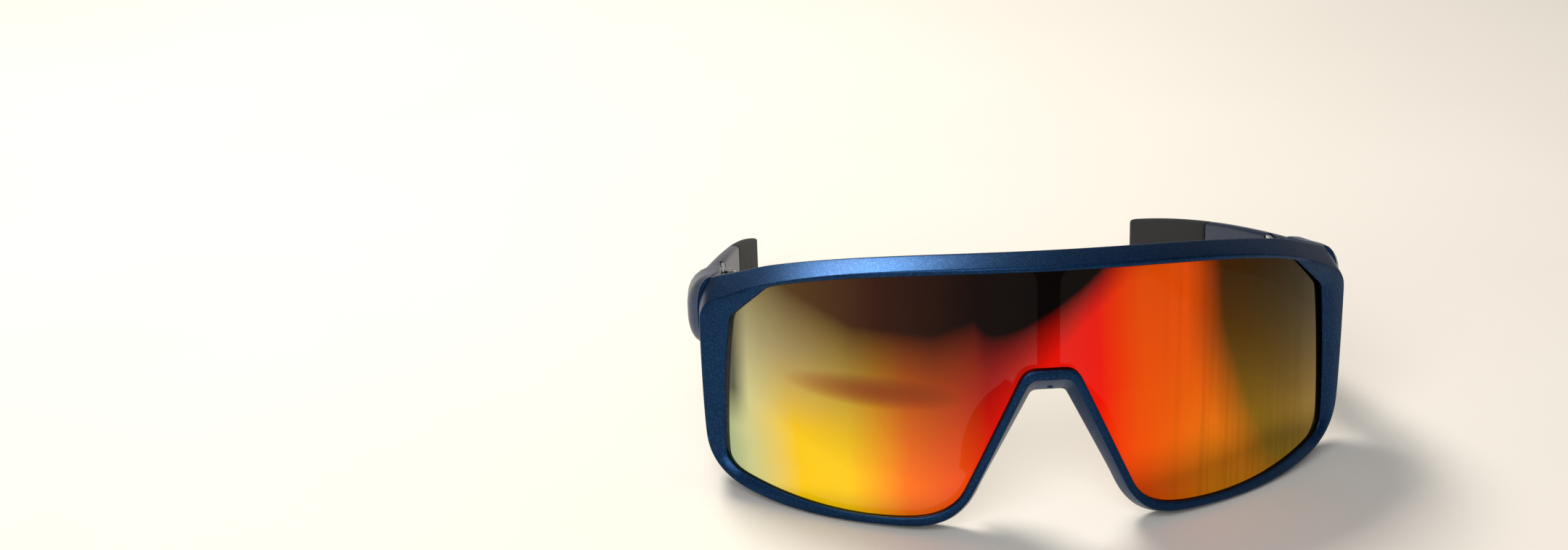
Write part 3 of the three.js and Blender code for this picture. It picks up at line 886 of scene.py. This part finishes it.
def build_side(side, name, arm):
    pad = nose_blade(f"pad_{name}", side, **PAD_SHAPE)
    finish_piece(pad, "front", PAD_RUBBER, [f"nose_pad_{name}"])
    core = nose_blade(f"pad_arm_{name}", side, **PAD_ARM_SHAPE)
    finish_piece(core, "front", ARM_NYLON, [f"nose_pad_arm_{name}"])
    bar = make_temple(f"arm_{name}", side)
    finish_piece(bar, arm, ARM_NYLON, [f"temple_{name}"])
    sleeve = make_sleeve(f"sleeve_{name}", side)
    finish_piece(sleeve, arm, SLEEVE_RUBBER, [f"temple_sleeve_{name}"])
    for node in ("front_hinge_leaf", "temple_hinge_leaf"):
        dress_metal(f"{node}_{name}", LEAF_STEEL)
    for node in ("hinge_screw", "front_leaf_screw", "temple_leaf_screw"):
        dress_metal(f"{node}_{name}", SCREW_STEEL)


def dress_metal(node, material):
    """A CAD metal piece keeps its shape and gets its finish and a fine bevel."""
    piece = frame["nodes"][node]
    piece.data.materials.clear()
    piece.data.materials.append(material)
    bevel = piece.modifiers.new("bevel", "BEVEL")
    bevel.width = 0.00012
    bevel.segments = 2
    bevel.limit_method = "ANGLE"


ARM_NYLON = flake_plastic("arm_nylon", (0.003, 0.014, 0.045), (0.005, 0.022, 0.066), 0.4)
PAD_RUBBER = rubber("pad_rubber_finish", (0.012, 0.012, 0.014), 0.62)
SLEEVE_RUBBER = rubber("sleeve_rubber_finish", (0.003, 0.0035, 0.005), 0.72)
LEAF_STEEL = steel("leaf_steel", (1.0, 0.1, 1.0))
SCREW_STEEL = steel("screw_steel_finish", (1.0, 1.0, 1.0))

build_front()
build_side(RIGHT, "right", "right_arm")
build_side(LEFT, "left", "left_arm")


# --- Stage, lights and camera ---------------------------------------------------------------------


def make_floor():
    bm = bmesh.new()
    bmesh.ops.create_grid(bm, x_segments=8, y_segments=8, size=2.5)
    mesh = bpy.data.meshes.new("floor")
    bm.to_mesh(mesh)
    bm.free()
    floor = make_object("floor", mesh)
    floor.data.materials.append(floor_material())


def make_light(name, place, target, size, power, colour):
    light = bpy.data.lights.new(name, "AREA")
    light.size = size
    light.energy = power
    light.color = colour
    lamp = bpy.data.objects.new(name, light)
    bpy.context.scene.collection.objects.link(lamp)
    lamp.location = place
    lamp.rotation_euler = (Vector(target) - Vector(place)).to_track_quat("-Z", "Y").to_euler()


def make_world():
    world = bpy.data.worlds.new("studio")
    bpy.context.scene.world = world
    world.use_nodes = True
    background = world.node_tree.nodes["Background"]
    background.inputs["Color"].default_value = (0.92, 0.95, 1.0, 1)
    background.inputs["Strength"].default_value = 0.24


def make_camera():
    """The camera, from its place and turns in the upright frame."""
    camera = bpy.data.cameras.new("camera")
    camera.lens = 45
    camera.sensor_width = 36
    holder = bpy.data.objects.new("camera", camera)
    bpy.context.scene.collection.objects.link(holder)
    turn, tilt, roll = (math.radians(angle) for angle in (-4.117, 66.413, -1.310))
    aim = Matrix.Rotation(turn, 3, "Z") @ Matrix.Rotation(tilt, 3, "X") @ Matrix.Rotation(roll, 3, "Z")
    place = row(-82.6, -387.7, 169.9)
    holder.matrix_world = Matrix.Translation(place) @ aim.to_4x4()
    bpy.context.scene.camera = holder


make_floor()
make_light("key", (-0.28, 0.42, 0.78), (0, -0.03, 0.02), 0.34, 10.2, (1.0, 0.95, 0.87))
make_light("front_fill", (-0.42, -0.9, 0.75), (-0.15, -0.25, 0.0), 0.9, 10.5, (0.95, 0.97, 1.0))
make_world()
make_camera()
bpy.context.scene.view_settings.view_transform = "Standard"
